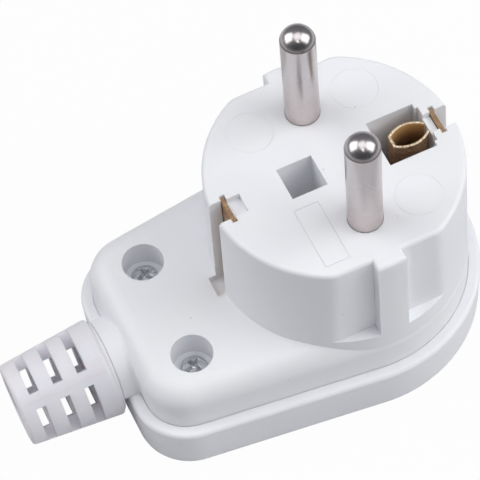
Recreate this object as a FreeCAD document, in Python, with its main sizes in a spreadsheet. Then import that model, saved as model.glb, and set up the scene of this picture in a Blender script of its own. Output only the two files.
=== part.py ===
import FreeCAD, Part
import math
import os
import re

import Sketcher
from FreeCAD import Placement, Rotation, Vector

# Rewirable angled plug with two round pins, two side earth clips and an earth socket.
# The plug lies on its back: Z is along the pins, with its zero on the back face.
# X runs from the cord end (minus) to the round end (plus), and Y from the near pin to the far pin.
# X and Y are zero on the axis of the round face body. Lengths are in millimetres, angles in degrees.

os.makedirs("parts", exist_ok=True)
doc = FreeCAD.newDocument("angled_plug")
sheet = doc.addObject("Spreadsheet::Sheet", "Sizes")

# Driving sizes: each name is also the alias of its cell in the sheet
sizes = {
    # Heights above the back face
    "back_height": 8.5,
    "deck_height": 16.0,
    "face_height": 33.7,
    "cord_axis_height": 7.9,

    # Plan of the housing, where the two halves meet
    "end_radius": 18.1,
    "side_taper": 7.25,
    "cord_end": 33.6,
    "corner_radius": 6.1,
    "rim_width": 1.75,
    "rim_draft": 0.3,
    "rim_edge": 0.6,
    "back_edge": 1.5,
    "deck_edge": 3.2,

    # Walls and the fit of one half in the other
    "front_wall": 1.8,
    "deck_wall": 2.0,
    "back_floor": 1.6,
    "seat_width": 1.0,
    "nest_depth": 2.0,
    "slip": 0.1,
    "seam": 0.06,

    # Face body, with a flat on each side that a rib crosses
    "face_radius": 17.7,
    "foot_radius": 17.95,
    "face_edge": 0.6,
    "flat_offset": 15.95,
    "flat_foot": 1.0,
    "flat_round": 3.0,
    "rib_width": 4.25,
    "face_wall": 3.0,
    "chamber_radius": 15.5,
    "chamber_half_width": 13.8,
    "chamber_half_length": 12.3,

    # Square hole in the face and the shallow panel beside it
    "square_x": -4.7,
    "square_side": 5.15,
    "square_depth": 9.5,
    "inner_wall": 1.2,
    "panel_x": -6.25,
    "panel_y": -9.25,
    "panel_length": 9.8,
    "panel_width": 3.65,
    "panel_groove": 0.13,
    "panel_depth": 0.12,
    "witness_radius": 3.3,
    "witness_groove": 0.12,
    "witness_depth": 0.06,

    # Earth socket and its well
    "well_start": 6.62,
    "well_end": 13.6,
    "well_width": 7.5,
    "well_wall_depth": 12.7,
    "well_step": 0.45,
    "well_step_width": 5.9,
    "socket_x": 11.15,
    "socket_length": 5.26,
    "socket_width": 3.86,
    "socket_mouth": 1.9,
    "socket_thickness": 0.4,
    "socket_reach": 13.0,
    "socket_below_face": 0.8,

    # Side earth clips, one strip bent to a U
    "clip_distance": 15.2,
    "clip_thickness": 0.6,
    "clip_width": 4.4,
    "clip_below_face": 0.5,
    "clip_bend": 1.5,
    "strap_height": 11.2,
    "lip_opening": 3.2,
    "clip_recess_start": 13.25,
    "clip_recess_width": 3.0,
    "clip_recess_depth": 1.0,
    "notch_end": 19.0,
    "notch_depth": 1.0,

    # Contact pins, at the standard's 19 mm centres, thickness and reach
    "pin_spacing": 19.0,
    "pin_radius": 2.4,
    "pin_reach": 19.0,
    "root_radius": 2.8,
    "pin_lip": 0.4,
    "pin_neck_depth": 0.25,
    "shoulder_radius": 3.7,
    "shoulder_length": 4.0,
    "terminal_radius": 3.2,
    "terminal_length": 9.0,
    "wire_hole_radius": 1.4,
    "wire_hole_depth": 5.2,

    # Plate that holds the pins
    "carrier_thickness": 2.4,
    "carrier_post_x": 7.84,
    "carrier_post_y": 9.6,
    "carrier_post_radius": 2.6,
    "peg_radius": 1.5,

    # Screws: a metric size for the terminals, tapping screws for the mouldings
    "terminal_screw_radius": 1.5,
    "earth_screw_length": 5.0,
    "cheese_head_radius": 2.75,
    "cheese_head_height": 1.5,
    "tapping_radius": 1.15,
    "pan_head_radius": 2.2,
    "pan_head_height": 1.6,
    "head_recess_depth": 1.0,
    "head_recess_width": 0.6,
    "cover_screw_x": -26.0,
    "cover_screw_spacing": 16.26,
    "cover_screw_length": 8.6,
    "counterbore_radius": 2.95,
    "counterbore_depth": 4.6,
    "cover_post_radius": 4.0,
    "cover_post_length": 5.0,
    "back_post_radius": 3.0,
    "carrier_screw_length": 6.5,

    # Bend protector, cut by three rings of slots
    "neck_radius": 4.85,
    "flange_radius": 5.7,
    "flange_thickness": 1.3,
    "collar_wall": 1.5,
    "collar_length": 2.3,
    "collar_blend": 0.7,
    "sleeve_radius": 7.15,
    "sleeve_end_radius": 5.95,
    "sleeve_length": 13.6,
    "sleeve_edge": 0.6,
    "cord_hole_radius": 3.9,
    "neck_hole_radius": 4.1,
    "sleeve_hole_radius": 4.35,
    "neck_reach": 1.0,
    "tip_length": 2.3,
    "droop": 3.0,
    "droop_lean": 17.0,
    "slot_width": 1.4,
    "slot_pitch": 3.55,
    "first_slot": 3.7,
    "strip_half_width": 1.1,
    "web_half_width": 1.0,
    "parting_turn": 34.0,

    # Cord clamp
    "clamp_x": -18.5,
    "clamp_screw_spacing": 14.4,
    "clamp_bar_width": 4.4,
    "clamp_bar_end": 2.4,
    "clamp_bar_thickness": 2.6,
    "clamp_bar_height": 3.0,
    "clamp_post_radius": 2.2,
    "clamp_screw_length": 8.0,
    "saddle_width": 3.0,

    # Earth terminal
    "washer_side": 5.6,
    "washer_thickness": 0.75,
    "rivet_radius": 1.0,
    "rivet_head_radius": 1.8,
    "rivet_head_height": 0.5,
    "press_rib_length": 9.0,
}
for row, (alias, value) in enumerate(sizes.items(), start=1):
    sheet.set(f"A{row}", alias)
    sheet.set(f"B{row}", str(value))
    sheet.setAlias(f"B{row}", alias)
doc.recompute()


def formula(text):
    """Write a formula of size names as an expression on the sheet."""
    return re.sub(r"[a-z_]+", lambda m: "Sizes." + m[0] if m[0] in sizes else m[0], str(text))


def number(text):
    """The present value of a formula of size names."""
    return float(sheet.evalExpression(formula(text)))


def new_body(name):
    """An empty body whose label is its file's name."""
    body = doc.addObject("PartDesign::Body", name)
    body.Label = name
    return body


def new_sketch(body, name, plane="XY_Plane", lift="0"):
    """An empty sketch on one of the body's own planes, lifted along that plane's normal."""
    drawing = body.newObject("Sketcher::SketchObject", body.Name + "_" + name)
    support = [face for face in body.Origin.OriginFeatures if face.Role == plane][0]
    drawing.AttachmentSupport = [(support, "")]
    drawing.MapMode = "FlatFace"
    drawing.setExpression("AttachmentOffset.Base.z", formula(lift))
    return drawing


def tie(drawing, constraint, text):
    """Add a constraint and bind its number to a formula."""
    index = drawing.addConstraint(constraint)
    drawing.setExpression(f"Constraints[{index}]", formula(text))


def tie_point(drawing, item, point, across, up):
    """Fix a point of the sketch by its two distances from the sketch's origin."""
    tie(drawing, Sketcher.Constraint("DistanceX", -1, 1, item, point, number(across)), across)
    tie(drawing, Sketcher.Constraint("DistanceY", -1, 1, item, point, number(up)), up)


def draw_circle(drawing, across, up, radius):
    """A circle, tied by its centre and radius."""
    centre = Vector(number(across), number(up), 0)
    item = drawing.addGeometry(Part.Circle(centre, Vector(0, 0, 1), number(radius)))
    tie(drawing, Sketcher.Constraint("Radius", item, number(radius)), radius)
    tie_point(drawing, item, 3, across, up)


def draw_profile(drawing, corners, arcs=None):
    """A closed line through corners, each tied by its place; arcs maps a side to its centre.

    The side after corner i is an arc where arcs holds i: (centre across, centre up, tied axis).
    """
    arcs = arcs or {}
    points = [Vector(number(across), number(up), 0) for across, up in corners]
    ends = []
    for i, start in enumerate(points):
        end = points[(i + 1) % len(points)]
        if i in arcs:
            centre = Vector(number(arcs[i][0]), number(arcs[i][1]), 0)
            middle = (start + end) * 0.5 - centre
            through = centre + middle * ((start - centre).Length / middle.Length)
            item = drawing.addGeometry(Part.Arc(start, through, end))
            first = 1 if drawing.getPoint(item, 1).distanceToPoint(start) < 1e-6 else 2
            axis = arcs[i][2]
            text = arcs[i][0] if axis == "DistanceX" else arcs[i][1]
            tie(drawing, Sketcher.Constraint(axis, -1, 1, item, 3, number(text)), text)
        else:
            item = drawing.addGeometry(Part.LineSegment(start, end))
            first = 1
        ends.append((item, first, 3 - first))
    for i, (item, first, last) in enumerate(ends):
        after, after_first, _ = ends[(i + 1) % len(ends)]
        drawing.addConstraint(Sketcher.Constraint("Coincident", item, last, after, after_first))
        tie_point(drawing, item, first, *corners[i])


def draw_rectangle(drawing, left, right, low, high):
    """A rectangle, tied by its four sides."""
    draw_profile(drawing, [(left, low), (right, low), (right, high), (left, high)])


def draw_box(drawing, across, up, width, height):
    """A rectangle about a middle point."""
    draw_rectangle(drawing, f"{across} - ({width}) / 2", f"{across} + ({width}) / 2",
                   f"{up} - ({height}) / 2", f"{up} + ({height}) / 2")


def draw_plan(drawing, grow="0"):
    """The housing's plan, moved outwards by grow.

    A round end about the origin, two sides that taper to the cord end, and two round corners.
    """
    radius = number(f"end_radius + {grow}")
    corner = number(f"corner_radius + {grow}")
    end_x = -number(f"cord_end + {grow}")
    turn = math.radians(number("side_taper"))
    corner_x = end_x + corner
    corner_y = (radius - corner + math.sin(turn) * corner_x) / math.cos(turn)
    lean = Vector(-math.sin(turn), math.cos(turn), 0)
    flip = Vector(lean.x, -lean.y, 0)
    upper = Vector(corner_x, corner_y, 0)
    lower = Vector(corner_x, -corner_y, 0)
    normal = Vector(0, 0, 1)
    quarter = math.pi / 2
    items = [
        Part.ArcOfCircle(Part.Circle(Vector(), normal, radius), -quarter - turn, quarter + turn),
        Part.LineSegment(lean * radius, upper + lean * corner),
        Part.ArcOfCircle(Part.Circle(upper, normal, corner), quarter + turn, math.pi),
        Part.LineSegment(Vector(end_x, corner_y, 0), Vector(end_x, -corner_y, 0)),
        Part.ArcOfCircle(Part.Circle(lower, normal, corner), math.pi, 3 * quarter - turn),
        Part.LineSegment(lower + flip * corner, flip * radius),
    ]
    base = [drawing.addGeometry(item) for item in items][0]
    round_end, side, arc, end, low_arc, low_side = range(base, base + 6)
    order = [round_end, side, arc, end, low_arc, low_side]
    for item, after in zip(order, order[1:] + order[:1]):
        drawing.addConstraint(Sketcher.Constraint("Tangent", item, 2, after, 1))
    drawing.addConstraint(Sketcher.Constraint("Coincident", round_end, 3, -1, 1))
    drawing.addConstraint(Sketcher.Constraint("Equal", arc, low_arc))
    drawing.addConstraint(Sketcher.Constraint("Symmetric", end, 1, end, 2, -1))
    tie(drawing, Sketcher.Constraint("Radius", round_end, radius), f"end_radius + {grow}")
    tie(drawing, Sketcher.Constraint("Radius", arc, corner), f"corner_radius + {grow}")
    tie(drawing, Sketcher.Constraint("DistanceX", -1, 1, end, 1, end_x), f"-(cord_end + {grow})")
    side_angle = math.pi + turn
    index = drawing.addConstraint(Sketcher.Constraint("Angle", side, side_angle))
    drawing.setExpression(f"Constraints[{index}]", "180 deg + Sizes.side_taper * 1 deg")


def pad(body, name, drawing, length, down=False):
    """Add material from the sketch, along its normal, or against it when down."""
    feature = body.newObject("PartDesign::Pad", body.Name + "_" + name)
    feature.Profile = drawing
    feature.setExpression("Length", formula(length))
    feature.Reversed = down
    doc.recompute()
    return feature


def pocket(body, name, drawing, depth, up=False):
    """Cut from the sketch, against its normal, or along it when up, and see that it cut."""
    before = body.Shape.Volume
    feature = body.newObject("PartDesign::Pocket", body.Name + "_" + name)
    feature.Profile = drawing
    feature.setExpression("Length", formula(depth))
    feature.Reversed = up
    doc.recompute()
    if not body.Shape.Volume < before - 1e-4:
        raise RuntimeError(feature.Name + " cut nothing")
    return feature


def revolve(body, name, drawing, axis="V_Axis", kind="Revolution"):
    """Turn the sketch a full turn about one of its own axes; the kind Groove cuts it away."""
    feature = body.newObject("PartDesign::" + kind, body.Name + "_" + name)
    feature.Profile = drawing
    feature.ReferenceAxis = (drawing, [axis])
    feature.Angle = 360
    doc.recompute()
    return feature


def fillet(body, name, radius, wanted):
    """Round the edges of the body's present tip for which wanted(edge) holds."""
    base = body.Tip
    edges = [f"Edge{i + 1}" for i, edge in enumerate(base.Shape.Edges) if wanted(edge)]
    if not edges:
        raise RuntimeError(body.Name + "_" + name + " found no edge")
    feature = body.newObject("PartDesign::Fillet", body.Name + "_" + name)
    feature.Base = (base, edges)
    feature.setExpression("Radius", formula(radius))
    doc.recompute()
    return feature


def at_height(edge, height):
    """Whether the whole edge lies at a height above the body's XY plane."""
    box = edge.BoundBox
    return abs(box.ZMin - height) < 1e-4 and abs(box.ZMax - height) < 1e-4


def make_front_housing():
    """White ABS moulding: skirt and deck, the round face body, the collar and all inner walls."""
    body = new_body("front_housing")
    nest = "back_height - nest_depth"
    deck_under = "deck_height - deck_wall"
    face_under = "face_height - face_wall"

    outline = new_sketch(body, "outline", lift=nest)
    draw_plan(outline)
    pad(body, "deck", outline, f"deck_height - ({nest})")
    deck = number("deck_height")
    fillet(body, "deck_round", "deck_edge", lambda edge: at_height(edge, deck))

    # The face body leans in a little from its foot to the face, so that it leaves the mould
    turned = new_sketch(body, "face_profile", "XZ_Plane")
    draw_profile(turned, [("0", "back_height"), ("foot_radius", "back_height"),
                          ("foot_radius", "deck_height"), ("face_radius", "face_height"),
                          ("0", "face_height")])
    revolve(body, "face_body", turned)

    flats = new_sketch(body, "flats", lift="face_height")
    for side in (1, -1):
        for end in (1, -1):
            near_x, far_x = sorted([f"{end} * rib_width / 2", f"{end} * end_radius"], key=number)
            near_y, far_y = sorted([f"{side} * flat_offset", f"{side} * end_radius"], key=number)
            draw_rectangle(flats, near_x, far_x, near_y, far_y)
    pocket(body, "side_flats", flats, "face_height - deck_height - flat_foot")

    flat_y = number("flat_offset")
    rib = number("rib_width") / 2
    foot = number("deck_height + flat_foot")
    face = number("face_height")

    def flat_end(edge):
        """The upright edges where a flat runs out into the round wall."""
        box = edge.BoundBox
        return (box.ZMin < foot + 1e-3 and box.ZMax > face - 1e-3
                and abs(box.XMin) > rib + 1 and abs(abs(box.Center.y) - flat_y) < 0.1)

    fillet(body, "flat_rounds", "flat_round", flat_end)
    fillet(body, "face_round", "face_edge", lambda edge: at_height(edge, face))

    # Half-round collar over the cord entry
    collar = new_sketch(body, "collar_profile", "YZ_Plane", "-(cord_end - front_wall)")
    low = "back_height + slip / 2"
    reach = f"sqrt((neck_radius + slip + collar_wall)^2 - ({low} - cord_axis_height)^2)"
    draw_profile(collar, [(f"-{reach}", low), (reach, low)],
                 {1: ("0", "cord_axis_height", "DistanceY")})
    pad(body, "collar", collar, "front_wall + collar_length", down=True)
    end_x = -number("cord_end")
    seam_z = number("back_height")
    slip_z = number("slip")
    collar_y = number("neck_radius + collar_wall + deck_edge")

    def collar_root(edge):
        """The curve where the collar runs into the end wall and the deck's round."""
        box = edge.BoundBox
        return (end_x - 0.01 < box.XMin and box.XMax < end_x + 4.6 and box.ZMin > seam_z
                and box.ZMax > seam_z + slip_z and max(abs(box.YMin), abs(box.YMax)) < collar_y)

    fillet(body, "collar_blend", "collar_blend", collar_root)

    # Wiring chamber under the deck and the smaller one in the face body
    chamber = new_sketch(body, "chamber", lift=nest)
    draw_plan(chamber, "(-1 * front_wall)")
    pocket(body, "wiring_chamber", chamber, f"{deck_under} - ({nest})", up=True)
    inner = new_sketch(body, "face_chamber", lift=nest)
    long_x = "chamber_half_length"
    long_y = "sqrt(chamber_radius^2 - chamber_half_length^2)"
    wide_x = "sqrt(chamber_radius^2 - chamber_half_width^2)"
    wide_y = "chamber_half_width"
    corner = ("0", "0", "DistanceX")
    draw_profile(inner, [(long_x, f"-{long_y}"), (long_x, long_y), (wide_x, wide_y),
                         (f"-{wide_x}", wide_y), (f"-{long_x}", long_y), (f"-{long_x}", f"-{long_y}"),
                         (f"-{wide_x}", f"-{wide_y}"), (wide_x, f"-{wide_y}")],
                 {1: corner, 3: corner, 5: corner, 7: corner})
    pocket(body, "pin_chamber", inner, f"{face_under} - ({nest})", up=True)

    # Walls round the well and the square hole hang from the face wall
    well_box = new_sketch(body, "well_box", lift=face_under)
    draw_rectangle(well_box, "well_start - inner_wall", "chamber_half_length + inner_wall",
                   "-(well_width / 2 + inner_wall)", "well_width / 2 + inner_wall")
    pad(body, "well_walls", well_box, "well_wall_depth - face_wall", down=True)
    square_box = new_sketch(body, "square_box", lift=face_under)
    draw_box(square_box, "square_x", "0", "square_side + 2 * inner_wall",
             "square_side + 2 * inner_wall")
    pad(body, "square_walls", square_box, "square_depth + inner_wall - face_wall", down=True)

    # The strap rests against the well's end wall and a leg under the square hole
    strap_rests = new_sketch(body, "strap_rests", lift="strap_height + clip_thickness + slip / 2")
    for side in (1, -1):
        ends = sorted([f"{side} * well_start", f"{side} * (well_start - inner_wall)"], key=number)
        draw_rectangle(strap_rests, *ends, "-clip_width / 2", "clip_width / 2")
    rest_top = "face_height - square_depth - inner_wall / 2"
    pad(body, "strap_rests_pad", strap_rests,
        f"{rest_top} - strap_height - clip_thickness - slip / 2")

    # Posts for the pin plate: two take its screws, two locate it
    posts = new_sketch(body, "carrier_posts", lift=face_under)
    pegs = new_sketch(body, "carrier_pegs", lift=face_under)
    for side in ("carrier_post_y", "-carrier_post_y"):
        draw_circle(posts, "-carrier_post_x", side, "carrier_post_radius")
        draw_circle(posts, "carrier_post_x", side, "carrier_post_radius")
        draw_circle(pegs, "carrier_post_x", side, "peg_radius")
    pad(body, "carrier_posts_pad", posts, "shoulder_length", down=True)
    pad(body, "carrier_pegs_pad", pegs, "shoulder_length + carrier_thickness + 2 * slip", down=True)

    # Posts and saddle under the deck, for the cover screws and the cord clamp
    cover_posts = new_sketch(body, "cover_posts", lift=deck_under)
    clamp_posts = new_sketch(body, "clamp_posts", lift=deck_under)
    for side in (1, -1):
        draw_circle(cover_posts, "cover_screw_x", f"{side} * cover_screw_spacing / 2",
                    "cover_post_radius")
        draw_circle(clamp_posts, "clamp_x", f"{side} * clamp_screw_spacing / 2",
                    "clamp_post_radius")
    pad(body, "cover_posts_pad", cover_posts, "cover_post_length", down=True)
    pad(body, "clamp_posts_pad", clamp_posts,
        f"{deck_under} - clamp_bar_height - clamp_bar_thickness - slip", down=True)
    saddle = new_sketch(body, "saddle", lift=deck_under)
    draw_box(saddle, "clamp_x", "0", "saddle_width", "clamp_screw_spacing")
    pad(body, "cord_saddle", saddle, f"{deck_under} - cord_axis_height - cord_hole_radius", down=True)

    # Cuts from the face: pins, square hole, panel, earth well
    pins = new_sketch(body, "pin_holes", lift="face_height")
    roots = new_sketch(body, "pin_root_holes", lift="face_height - pin_lip")
    for side in (1, -1):
        draw_circle(pins, "0", f"{side} * pin_spacing / 2", "pin_radius + slip / 2")
        draw_circle(roots, "0", f"{side} * pin_spacing / 2", "root_radius + slip / 2")
    pocket(body, "pin_holes_cut", pins, "face_wall + 1")
    pocket(body, "pin_root_holes_cut", roots, "face_wall + 1")
    square = new_sketch(body, "square", lift="face_height")
    draw_box(square, "square_x", "0", "square_side", "square_side")
    pocket(body, "square_hole", square, "square_depth")
    panel = new_sketch(body, "panel", lift="face_height")
    draw_box(panel, "panel_x", "panel_y", "panel_width", "panel_length")
    draw_box(panel, "panel_x", "panel_y", "panel_width - 2 * panel_groove",
             "panel_length - 2 * panel_groove")
    pocket(body, "panel_line", panel, "panel_depth")
    # Faint rings over the posts, where the moulding sinks a little
    rings = new_sketch(body, "witness", lift="face_height")
    for side, end in ((1, 1), (1, -1), (-1, 1)):
        place = (f"{end} * carrier_post_x", f"{side} * carrier_post_y")
        draw_circle(rings, *place, "witness_radius")
        draw_circle(rings, *place, "witness_radius - witness_groove")
    pocket(body, "witness_rings", rings, "witness_depth")
    well = new_sketch(body, "well", lift="face_height")
    half_step = "well_step_width / 2"
    half_well = "well_width / 2"
    step_x = "well_end + well_step"
    draw_profile(well, [("well_start", f"-{half_well}"), ("well_end", f"-{half_well}"),
                        ("well_end", f"-{half_step}"), (step_x, f"-{half_step}"),
                        (step_x, half_step), ("well_end", half_step), ("well_end", half_well),
                        ("well_start", half_well)])
    pocket(body, "earth_well", well, f"face_height - ({deck_under}) + 1")

    # Each side clip has a slot for the strip, an opening through the wall that ends in a notch,
    # and a shallow recess on the inner side
    slots = new_sketch(body, "clip_slots", lift="face_height")
    openings = new_sketch(body, "clip_openings", lift="face_height")
    recesses = new_sketch(body, "clip_recesses", lift="face_height")
    slot_outer = "clip_distance + clip_thickness + slip"
    for side in (1, -1):
        ends = sorted([f"{side} * (clip_distance - slip)", f"{side} * ({slot_outer})"], key=number)
        draw_rectangle(slots, *ends, "-(clip_width / 2 + slip)", "clip_width / 2 + slip")
        ends = sorted([f"{side} * (clip_distance + slip)", f"{side} * notch_end"], key=number)
        draw_rectangle(openings, *ends, "-lip_opening / 2", "lip_opening / 2")
        ends = sorted([f"{side} * clip_recess_start", f"{side} * clip_distance"], key=number)
        draw_rectangle(recesses, *ends, "-clip_recess_width / 2", "clip_recess_width / 2")
    pocket(body, "clip_slots_cut", slots, f"face_height - ({deck_under}) + 1")
    pocket(body, "clip_openings_cut", openings, "face_height - deck_height + notch_depth")
    pocket(body, "clip_recesses_cut", recesses, "clip_recess_depth")

    # Screw holes: counterbored from the deck, blind from below
    bores = new_sketch(body, "counterbores", lift="deck_height")
    holes = new_sketch(body, "cover_screw_holes", lift="deck_height")
    for side in (1, -1):
        place = ("cover_screw_x", f"{side} * cover_screw_spacing / 2")
        draw_circle(bores, *place, "counterbore_radius")
        draw_circle(holes, *place, "tapping_radius + 2 * slip")
    pocket(body, "counterbores_cut", bores, "counterbore_depth")
    pocket(body, "cover_screw_holes_cut", holes, "deck_wall + cover_post_length + 1")
    blind = new_sketch(body, "carrier_screw_holes", lift=f"{face_under} - shoulder_length")
    clamp_holes = new_sketch(body, "clamp_screw_holes", lift="clamp_bar_height + clamp_bar_thickness")
    for side in (1, -1):
        draw_circle(blind, "-carrier_post_x", f"{side} * carrier_post_y", "tapping_radius + slip / 2")
        draw_circle(clamp_holes, "clamp_x", f"{side} * clamp_screw_spacing / 2",
                    "tapping_radius + slip / 2")
    pocket(body, "carrier_screw_holes_cut", blind, "carrier_screw_length - carrier_thickness + slip",
           up=True)
    pocket(body, "clamp_screw_holes_cut", clamp_holes,
           "clamp_screw_length - clamp_bar_thickness + 2 * slip", up=True)

    entry = new_sketch(body, "cord_entry", "YZ_Plane", "-(cord_end - front_wall - 1)")
    draw_circle(entry, "0", "cord_axis_height", "neck_radius + slip")
    pocket(body, "cord_entry_cut", entry, "front_wall + collar_length + 2")
    return body


def make_back_shell():
    """White ABS tray that closes the back: its rim stands round the front housing's skirt."""
    body = new_body("back_shell")
    outline = new_sketch(body, "outline")
    draw_plan(outline, "rim_width")
    wall = pad(body, "wall", outline, "back_height")
    faces = list(enumerate(wall.Shape.Faces))
    sides = [f"Face{i + 1}" for i, face in faces if face.BoundBox.ZLength > 1]
    top = [f"Face{i + 1}" for i, face in faces if face.BoundBox.ZMin > 1]
    draft = body.newObject("PartDesign::Draft", "back_shell_draft")
    draft.Base = (wall, sides)
    draft.NeutralPlane = (wall, top)
    draft.Reversed = True
    draft.setExpression("Angle", "atan(Sizes.rim_draft / Sizes.back_height)")
    doc.recompute()
    fillet(body, "back_round", "back_edge", lambda edge: at_height(edge, 0))
    rim = number("back_height")
    fillet(body, "rim_round", "rim_edge", lambda edge: at_height(edge, rim))

    seat = new_sketch(body, "seat", lift="back_height")
    draw_plan(seat, "seam")
    pocket(body, "seat_cut", seat, "nest_depth + slip")
    chamber = new_sketch(body, "chamber", lift="back_height")
    draw_plan(chamber, "(-1 * seat_width)")
    pocket(body, "chamber_cut", chamber, "back_height - back_floor")

    posts = new_sketch(body, "posts", lift="back_floor")
    post_top = "(deck_height - deck_wall - cover_post_length - slip)"
    pilots = new_sketch(body, "pilots", lift=post_top)
    for side in (1, -1):
        place = ("cover_screw_x", f"{side} * cover_screw_spacing / 2")
        draw_circle(posts, *place, "back_post_radius")
        draw_circle(pilots, *place, "tapping_radius + slip / 2")
    pad(body, "posts_pad", posts, f"{post_top} - back_floor")
    screw_tip = "deck_height - counterbore_depth - cover_screw_length"
    pocket(body, "pilots_cut", pilots, f"{post_top} - ({screw_tip}) + 2 * slip")

    # Two ribs press the earth strap against its rests in the front housing
    ribs = new_sketch(body, "press_ribs", lift="back_floor")
    for side in (1, -1):
        draw_box(ribs, f"{side} * (well_start - inner_wall / 2)", "0", "inner_wall",
                 "press_rib_length")
    pad(body, "press_ribs_pad", ribs, "strap_height - slip - back_floor")

    entry = new_sketch(body, "cord_entry", "YZ_Plane", "-(cord_end - seat_width - 1)")
    draw_circle(entry, "0", "cord_axis_height", "neck_radius + slip")
    pocket(body, "cord_entry_cut", entry, "seat_width + rim_width + 2")
    mouth = new_sketch(body, "cord_mouth", "YZ_Plane", "-(cord_end - seat_width - 1)")
    draw_rectangle(mouth, "-(neck_radius + slip)", "neck_radius + slip", "cord_axis_height",
                   "back_height + 1")
    pocket(body, "cord_mouth_cut", mouth, "seat_width + rim_width + 2")
    return body


def make_bend_protector():
    """Soft PVC cone on the cord, cut to bend, with a flange held between the two halves.

    The neck is straight. The cone droops a little and leans to the far side, and its strips
    between the windows are turned by the parting angle.
    """
    body = new_body("bend_protector")
    collar_face = "-(cord_end + collar_length + slip)"
    flange_face = "-(cord_end - front_wall - slip)"
    base = f"({collar_face} - slip)"

    def cone_sketch(name, turn="0", lift="0"):
        """A sketch through the cone's own axis: across runs back along it from zero at its base."""
        drawing = new_sketch(body, name, "XZ_Plane")
        lean = "rotation(vector(1; 0; 0); droop_lean * 1 deg)"
        tilt = "rotation(vector(0; 0; 1); droop * 1 deg)"
        spin = f"rotation(vector(1; 0; 0); ({turn}) * 1 deg)"
        drawing.setExpression("AttachmentOffset.Base.z", None)
        drawing.setExpression("AttachmentOffset", formula(
            f"placement(vector({base}; 0; 0); {lean} * {tilt} * {spin})"
            f" * placement(vector(0; 0; {lift}); rotation(vector(0; 0; 1); 0))"))
        doc.recompute()
        return drawing

    neck = new_sketch(body, "neck_profile", "XZ_Plane")
    flange_back = f"{flange_face} + flange_thickness"
    draw_profile(neck, [(flange_back, "0"), (flange_back, "flange_radius"),
                        (flange_face, "flange_radius"), (flange_face, "neck_radius"),
                        (f"{base} - neck_reach", "neck_radius"), (f"{base} - neck_reach", "0")])
    revolve(body, "neck", neck, "H_Axis")
    cone = cone_sketch("cone_profile")
    draw_profile(cone, [("0", "0"), ("0", "sleeve_radius"),
                        ("-sleeve_length", "sleeve_end_radius"), ("-sleeve_length", "0")])
    revolve(body, "cone", cone, "H_Axis")
    rims = [number("sleeve_radius"), number("sleeve_end_radius")]
    fillet(body, "sleeve_round", "sleeve_edge", lambda edge: any(
        abs(getattr(edge.Curve, "Radius", 0) - rim) < 1e-6 for rim in rims))

    # The cord's way: straight in the neck, along the cone's axis after it, narrower at the end
    way = cone_sketch("cord_way")
    draw_profile(way, [("0", "0"), ("0", "sleeve_hole_radius"),
                       ("-(sleeve_length - tip_length)", "sleeve_hole_radius"),
                       ("-(sleeve_length - tip_length)", "cord_hole_radius"),
                       ("-(sleeve_length + 1)", "cord_hole_radius"), ("-(sleeve_length + 1)", "0")])
    revolve(body, "cord_way_cut", way, "H_Axis", "Groove")
    hole = new_sketch(body, "neck_hole", "YZ_Plane", f"{base} - neck_reach / 2")
    draw_circle(hole, "0", "0", "neck_hole_radius")
    pocket(body, "neck_hole_cut", hole, f"{flange_back} + 1 - ({base})", up=True)

    for name, side, up in (("upper", 1, True), ("lower", -1, False)):
        slots = cone_sketch(name + "_slots", "parting_turn - droop_lean - 90",
                            f"{side} * web_half_width")
        for ring in range(3):
            middle = f"-first_slot - {ring} * slot_pitch"
            left = f"{middle} - slot_width / 2"
            right = f"{middle} + slot_width / 2"
            draw_rectangle(slots, left, right, "strip_half_width", "sleeve_radius + 1")
            draw_rectangle(slots, left, right, "-(sleeve_radius + 1)", "-strip_half_width")
        pocket(body, name + "_slots_cut", slots, "sleeve_radius + 1", up=up)
    body.setExpression("Placement.Base.z", formula("cord_axis_height"))
    doc.recompute()
    return body


def make_contact_pin(name, side):
    """Turned brass pin: ball end, shaft, a shoulder behind the face wall and the wire terminal."""
    body = new_body(name)
    tip = "face_height + pin_reach"
    shoulder_top = "face_height - face_wall - slip / 2"
    shoulder_low = f"{shoulder_top} - shoulder_length"
    end = f"{shoulder_low} - terminal_length"
    root_top = "face_height - pin_lip - slip / 2"
    # A turned neck inside the lip, so that the full shaft starts at the face
    neck = "pin_radius - pin_neck_depth"
    shaft_low = "face_height - slip / 2"
    turned = new_sketch(body, "profile", "XZ_Plane")
    draw_profile(turned, [("0", end), ("terminal_radius", end), ("terminal_radius", shoulder_low),
                          ("shoulder_radius", shoulder_low), ("shoulder_radius", shoulder_top),
                          ("root_radius", shoulder_top), ("root_radius", root_top),
                          (neck, root_top), (neck, shaft_low), ("pin_radius", shaft_low),
                          ("pin_radius", f"{tip} - pin_radius"), ("0", tip)],
                 {10: ("0", f"{tip} - pin_radius", "DistanceX")})
    revolve(body, "shaft", turned)
    wire = new_sketch(body, "wire_hole", "YZ_Plane", "-terminal_radius - 1")
    draw_circle(wire, "0", f"{shoulder_low} - wire_hole_depth", "wire_hole_radius")
    pocket(body, "wire_hole_cut", wire, "2 * terminal_radius + 2", up=True)
    thread = new_sketch(body, "thread", lift=end)
    draw_circle(thread, "0", "0", "terminal_screw_radius + slip / 2")
    pocket(body, "thread_cut", thread, "terminal_length - wire_hole_depth", up=True)
    body.setExpression("Placement.Base.y", formula(f"{side} * pin_spacing / 2"))
    doc.recompute()
    return body


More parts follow.
